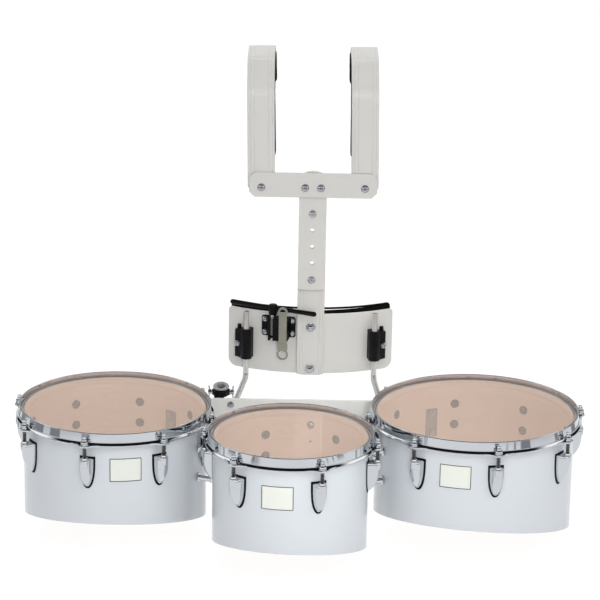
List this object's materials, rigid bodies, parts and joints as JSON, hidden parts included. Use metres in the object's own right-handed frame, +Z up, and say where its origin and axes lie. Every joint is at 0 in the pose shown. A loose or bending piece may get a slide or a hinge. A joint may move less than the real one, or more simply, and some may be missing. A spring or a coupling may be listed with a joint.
{
  "type": "marching tenor drums",
  "caption": "Slant-cut single-headed drums bolted side by side to a rail, hung by bent rods from a belly plate, mast and padded shoulder hooks.",
  "frame": {"origin": "midway between the two places where the pads' flat undersides rest on the shoulders", "axes": "+Z up, -Y towards the audience, +Y towards the player, +X to the audience's right"},
  "size_m": [0.9511, 0.6933, 0.7557],
  "materials": {
    "shell_lacquer": "white gloss lacquer over plywood",
    "head_film": "clear polyester film in a metal flesh ring",
    "chrome": "chrome plated steel",
    "white_coat": "white powder coat over aluminium",
    "black_padding": "black fabric over foam",
    "black_plastic": "black moulded plastic",
    "black_steel": "black sleeved steel",
    "plain_steel": "plain steel",
    "grey_metal": "dull grey metal"
  },
  "bodies": {
    "shoulder_frame": {"cross_plate": "white_coat", "mast_upper": "white_coat"},
    "shoulder_left": {"shoulder_bar_left": "white_coat", "shoulder_pad_left": "black_padding"},
    "shoulder_right": {"shoulder_bar_right": "white_coat", "shoulder_pad_right": "black_padding"},
    "belly_frame": {"mast_lower": "white_coat", "belly_plate": "white_coat", "belly_pad": "black_padding", "rod_clamp_left": "black_plastic", "rod_clamp_right": "black_plastic", "tool_holder": "black_plastic"},
    "drum_rack": {"backing_plate_left": "plain_steel", "backing_plate_right": "plain_steel", "bent_rod_left": "chrome", "bent_rod_right": "chrome", "clip_body": "black_plastic", "clip_ring": "grey_metal", "lug_centre_1": "chrome", "lug_centre_2": "chrome", "lug_centre_3": "chrome", "lug_centre_4": "chrome", "lug_centre_5": "chrome", "lug_centre_6": "chrome", "lug_left_1": "chrome", "lug_left_2": "chrome", "lug_left_3": "chrome", "lug_left_4": "chrome", "lug_left_5": "chrome", "lug_left_6": "chrome", "lug_left_7": "chrome", "lug_left_8": "chrome", "lug_right_1": "chrome", "lug_right_2": "chrome", "lug_right_3": "chrome", "lug_right_4": "chrome", "lug_right_5": "chrome", "lug_right_6": "chrome", "lug_right_7": "chrome", "lug_right_8": "chrome", "rail": "white_coat", "shell_centre": "shell_lacquer", "shell_left": "shell_lacquer", "shell_right": "shell_lacquer", "spacer_left_lower": "chrome", "spacer_left_upper": "chrome", "spacer_right_lower": "chrome", "spacer_right_upper": "chrome"},
    "head_and_hoop_left": {"head_left": "head_film", "hoop_left": "chrome"},
    "head_and_hoop_centre": {"head_centre": "head_film", "hoop_centre": "chrome"},
    "head_and_hoop_right": {"head_right": "head_film", "hoop_right": "chrome"},
    "wing_screw_outer": {"wing_screw_left": "chrome"},
    "wing_screw_inner": {"wing_screw_right": "chrome"},
    "hex_key": {"hex_key": "black_steel"},
    "spanner": {"spanner": "plain_steel"}
  },
  "joints": [
    {"name": "shoulder_bar_left_swing", "type": "hinge", "parent": "shoulder_frame", "child": "shoulder_left", "pos_m": [-0.0885, -0.09194, -0.19], "axis": [0, 1, 0], "range_deg": [-6, 6]},
    {"name": "shoulder_bar_right_swing", "type": "hinge", "parent": "shoulder_frame", "child": "shoulder_right", "pos_m": [0.0885, -0.09194, -0.19], "axis": [0, 1, 0], "range_deg": [-6, 6]},
    {"name": "mast_height", "type": "slide", "parent": "shoulder_frame", "child": "belly_frame", "axis": [0, 0, -1], "range_m": [0, 0.0882]},
    {"name": "rack_height", "type": "slide", "parent": "belly_frame", "child": "drum_rack", "axis": [0, 0, 1], "range_m": [-0.026, 0.018]},
    {"name": "head_lift_left", "type": "slide", "parent": "drum_rack", "child": "head_and_hoop_left", "axis": [0, 0, 1], "range_m": [0, 0.022]},
    {"name": "head_lift_centre", "type": "slide", "parent": "drum_rack", "child": "head_and_hoop_centre", "axis": [0, 0, 1], "range_m": [0, 0.022]},
    {"name": "head_lift_right", "type": "slide", "parent": "drum_rack", "child": "head_and_hoop_right", "axis": [0, 0, 1], "range_m": [0, 0.022]},
    {"name": "wing_screw_outer_turn", "type": "hinge", "parent": "drum_rack", "child": "wing_screw_outer", "pos_m": [-0.151, -0.20144, -0.5239], "axis": [1, 0, 0], "continuous": true},
    {"name": "wing_screw_inner_turn", "type": "hinge", "parent": "drum_rack", "child": "wing_screw_inner", "pos_m": [-0.151, -0.20144, -0.5239], "axis": [1, 0, 0], "continuous": true},
    {"name": "hex_key_lift", "type": "slide", "parent": "belly_frame", "child": "hex_key", "axis": [0, 0, 1], "range_m": [0, 0.06]},
    {"name": "spanner_pull", "type": "slide", "parent": "belly_frame", "child": "spanner", "axis": [-0.2075, -0.9782, 0], "range_m": [0, 0.03]}
  ]
}
